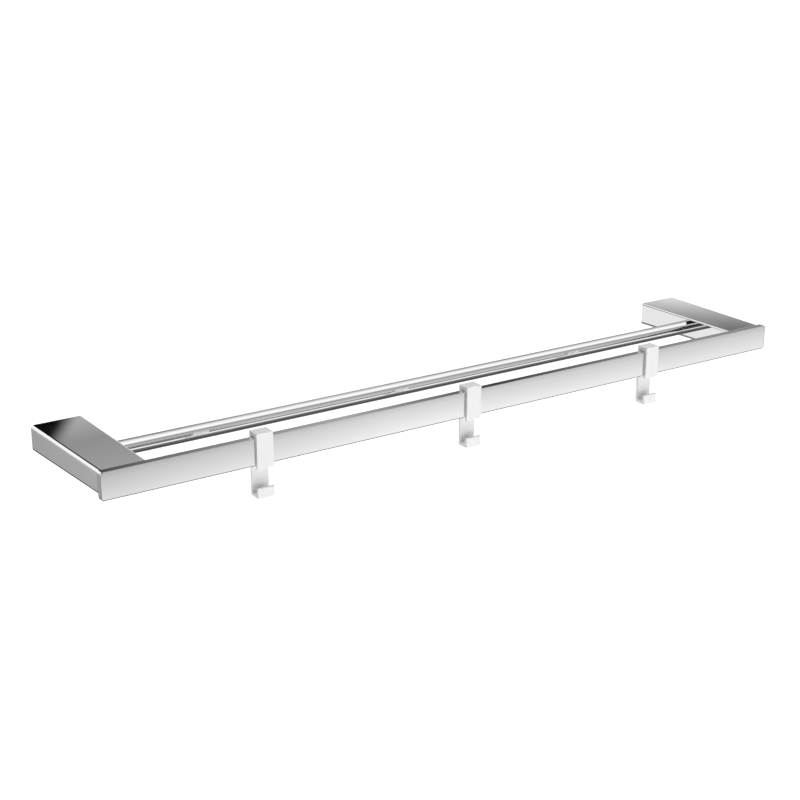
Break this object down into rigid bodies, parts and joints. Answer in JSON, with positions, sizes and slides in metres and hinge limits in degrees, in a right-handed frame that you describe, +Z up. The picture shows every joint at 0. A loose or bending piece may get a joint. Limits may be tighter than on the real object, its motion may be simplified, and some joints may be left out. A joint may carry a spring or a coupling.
{
  "type": "towel rack",
  "caption": "Wall-mounted towel rack: a round towel rod and a flat front rail between end brackets, with moulded hooks that slide along the rail.",
  "frame": {"origin": "on the wall plane, half way along the rail, at the height of the wall screws", "axes": "+X to the right along the rail for someone facing the wall, +Y into the wall, +Z up"},
  "size_m": [0.6036, 0.1144, 0.0472],
  "materials": {
    "chrome_bar": "polished",
    "chrome_cast": "polished",
    "plate_steel": "zinc plated",
    "screw_steel": "plain",
    "hook_plastic": "satin"
  },
  "bodies": {
    "rack": {"front_rail": "chrome_bar", "towel_rod": "chrome_bar", "left_bracket": "chrome_cast", "right_bracket": "chrome_cast", "left_wall_plate": "plate_steel", "right_wall_plate": "plate_steel", "left_rail_washer_inner": "screw_steel", "left_rail_screw_inner": "screw_steel", "left_rail_washer_outer": "screw_steel", "left_rail_screw_outer": "screw_steel", "left_rod_set_screw": "screw_steel", "left_plate_set_screw": "screw_steel", "right_rail_washer_inner": "screw_steel", "right_rail_screw_inner": "screw_steel", "right_rail_washer_outer": "screw_steel", "right_rail_screw_outer": "screw_steel", "right_rod_set_screw": "screw_steel", "right_plate_set_screw": "screw_steel"},
    "hook_left_body": {"hook_left": "hook_plastic"},
    "hook_middle_body": {"hook_middle": "hook_plastic"},
    "hook_right_body": {"hook_right": "hook_plastic"}
  },
  "joints": [
    {"name": "hook_left_slide", "type": "slide", "parent": "rack", "child": "hook_left_body", "axis": [1, 0, 0], "range_m": [-0.076, 0.081]},
    {"name": "hook_middle_slide", "type": "slide", "parent": "rack", "child": "hook_middle_body", "axis": [1, 0, 0], "range_m": [-0.081, 0.081]},
    {"name": "hook_right_slide", "type": "slide", "parent": "rack", "child": "hook_right_body", "axis": [1, 0, 0], "range_m": [-0.081, 0.086]}
  ]
}
